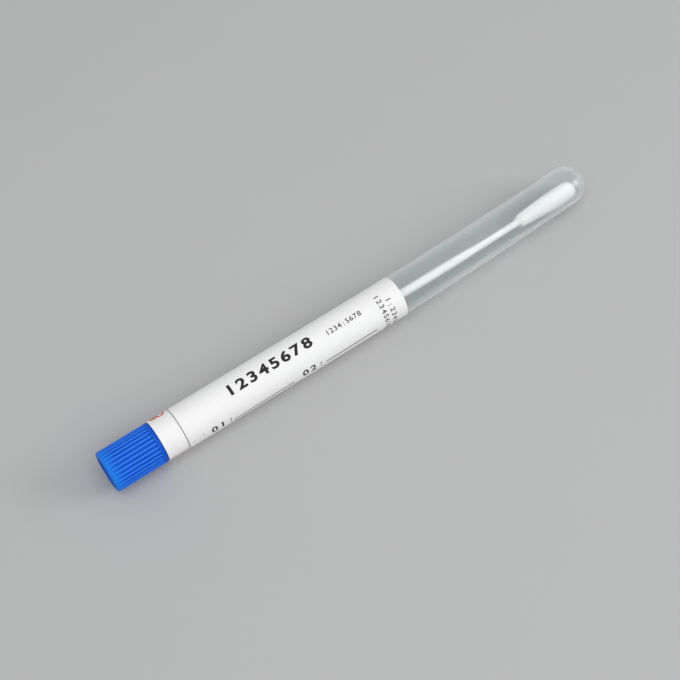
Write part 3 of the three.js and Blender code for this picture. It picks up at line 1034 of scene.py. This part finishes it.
def band_print(settings):
    """Plain coloured marks on the seal band: discs, rings and two ruled lines along the tube, each twice."""
    paper = settings.paper
    low, high = BAND_SPAN[0] + 0.1 * MM, BAND_SPAN[1] - 0.1 * MM
    rings, discs, rules = Flat(), Flat(), Flat()
    for degrees in (-75, -165):
        rings.ring(spot(4.0, degrees), 1.4 * MM, 0.75 * MM)
        discs.ring(spot(2.0, degrees), 1.1 * MM, 0.02 * MM)
    for degrees in (69, 77, 245, 253):
        rules.bar((low, turned_up(degrees)), (high, turned_up(degrees)), 0.26 * MM)
    prints = (
        ("band_rings", rings, ink("red_ink", paper.red, 0.2)),
        ("band_discs", discs, ink("orange_ink", paper.orange, 0.2)),
        ("band_rules", rules, ink("pink_ink", paper.pink, 0.3)),
    )
    for name, flat, material in prints:
        wrapped_print(name, flat, material, "band_paper", band_radius, tube_line, settings)


# ---- stage ----

FLOOR_REACH = 3.0
KEY_BOX = {"place": (-0.09, -0.14, 0.61), "aim": (0, 0, 0), "side": 0.6}
TIP_BOX = {"place": (0.965, -0.545, 0.486), "aim": (0.06, 0, 0), "side": 0.58}


def stage_floor(stage):
    """A pale floor a few metres wide under the object."""
    r = FLOOR_REACH
    mesh = bpy.data.meshes.new("floor")
    mesh.from_pydata([(-r, -r, 0), (r, -r, 0), (r, r, 0), (-r, r, 0)], [], [(0, 1, 2, 3)])
    mesh.materials.append(floor_board(stage))
    floor = in_scene("floor", mesh)


def soft_box(name, watts, place, aim, side):
    """A square area light that faces its aim."""
    light = bpy.data.lights.new(name, "AREA")
    light.size = side
    light.energy = watts
    lamp = in_scene(name, light)
    lamp.location = place
    lamp.rotation_euler = (Vector(aim) - Vector(place)).to_track_quat("-Z", "Y").to_euler()


def stage_world(stage):
    """Even light from all round, and a backdrop that is seen past the floor, mirrored or through the tube."""
    n = Nodes("room", "worlds", "Background")
    path = n.add("ShaderNodeLightPath").outputs
    seen = path["Is Camera Ray"]
    for ray in ("Is Glossy Ray", "Is Transmission Ray"):
        seen = n.add("ShaderNodeMath", {0: seen, 1: path[ray]}, operation="MAXIMUM").outputs["Value"]
    n.set(Color=n.tint(seen, stage.room, stage.backdrop))
    bpy.context.scene.world = n.owner


def stage_camera(stage):
    """A camera at the given turn, height and distance from what it looks at."""
    camera = bpy.data.cameras.new("camera")
    camera.sensor_width = 36
    camera.lens = stage.lens
    camera.clip_start = 0.01
    view = in_scene("camera", camera)
    a, e = stage.azimuth, stage.elevation
    back = Vector((math.sin(a) * math.cos(e), -math.cos(a) * math.cos(e), math.sin(e)))
    aim = Vector((stage.aim_x, AXIS_Y + stage.aim_y, AXIS_Z))
    view.location = aim + stage.distance * back
    view.rotation_euler = back.to_track_quat("Z", "Y").to_euler()
    bpy.context.scene.camera = view


# ---- operators and panel ----


class SWABTUBE_OT_stage(bpy.types.Operator):
    """Sets the floor, the lights and the camera"""

    bl_idname = "swab_tube.stage"
    bl_label = "Stage"

    def execute(self, context):
        stage = context.scene.swab_tube.stage
        context.scene.view_settings.view_transform = "Standard"
        stage_floor(stage)
        soft_box("key_box", stage.key_power, **KEY_BOX)
        soft_box("tip_box", stage.tip_power, **TIP_BOX)
        stage_world(stage)
        stage_camera(stage)
        return {"FINISHED"}


class SWABTUBE_OT_tube(bpy.types.Operator):
    """Builds the clouded plastic tube"""

    bl_idname = "swab_tube.tube"
    bl_label = "Tube"

    def execute(self, context):
        tube_piece(context.scene.swab_tube)
        return {"FINISHED"}


class SWABTUBE_OT_cap(bpy.types.Operator):
    """Builds the ribbed cap with its plug and socket"""

    bl_idname = "swab_tube.cap"
    bl_label = "Cap"

    def execute(self, context):
        cap_piece(context.scene.swab_tube)
        return {"FINISHED"}


class SWABTUBE_OT_swab(bpy.types.Operator):
    """Builds the swab: its shaft, its bud and the bud's loose fibres"""

    bl_idname = "swab_tube.swab"
    bl_label = "Swab"

    def execute(self, context):
        settings = context.scene.swab_tube
        shaft_piece(settings)
        bud_piece(settings)
        strand_piece(settings)
        return {"FINISHED"}


class SWABTUBE_OT_paper(bpy.types.Operator):
    """Builds the label and the seal band"""

    bl_idname = "swab_tube.paper"
    bl_label = "Label and seal band"

    def execute(self, context):
        settings = context.scene.swab_tube
        white = settings.paper.white
        sheet = paper_sheet("label_paper", white, 0.5, (0.99, 0.985, 0.97))
        label = ("label_sleeve", "label", sheet, "label_paper", LABEL_SPAN, label_radius, label_line)
        paper_sleeve(*label, settings)
        sheet = paper_sheet("band_paper", white, 0.42, (1.0, 0.98, 0.975))
        band = ("band_sleeve", "seal_band", sheet, "band_paper", BAND_SPAN, band_radius, tube_line)
        paper_sleeve(*band, settings)
        gap_shade_line(settings)
        return {"FINISHED"}


class SWABTUBE_OT_print(bpy.types.Operator):
    """Prints the numerals, rules and marks on the papers"""

    bl_idname = "swab_tube.print"
    bl_label = "Print"

    def execute(self, context):
        settings = context.scene.swab_tube
        label_print(settings)
        band_print(settings)
        return {"FINISHED"}


STEPS = (
    SWABTUBE_OT_stage,
    SWABTUBE_OT_tube,
    SWABTUBE_OT_cap,
    SWABTUBE_OT_swab,
    SWABTUBE_OT_paper,
    SWABTUBE_OT_print,
)


class SWABTUBE_PT_pieces(bpy.types.Panel):
    """Lists the steps that build the object"""

    bl_idname = "SWABTUBE_PT_pieces"
    bl_label = "Swab Tube"
    bl_space_type = "VIEW_3D"
    bl_region_type = "UI"
    bl_category = "Swab Tube"

    def draw(self, context):
        for step in STEPS:
            self.layout.operator(step.bl_idname)


GROUPS = (TubeSettings, CapSettings, SwabSettings, PaperSettings, StageSettings, SwabTubeSettings)
CLASSES = (*GROUPS, *STEPS, SWABTUBE_PT_pieces)


def register():
    """Adds the classes and the settings."""
    for cls in CLASSES:
        bpy.utils.register_class(cls)
    bpy.types.Scene.swab_tube = bpy.props.PointerProperty(type=SwabTubeSettings)


def unregister():
    """Takes them away again."""
    del bpy.types.Scene.swab_tube
    for cls in reversed(CLASSES):
        bpy.utils.unregister_class(cls)


def main():
    """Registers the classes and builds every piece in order."""
    register()
    bpy.ops.swab_tube.stage()
    bpy.ops.swab_tube.tube()
    bpy.ops.swab_tube.cap()
    bpy.ops.swab_tube.swab()
    bpy.ops.swab_tube.paper()
    bpy.ops.swab_tube.print()


if __name__ == "__main__":
    main()
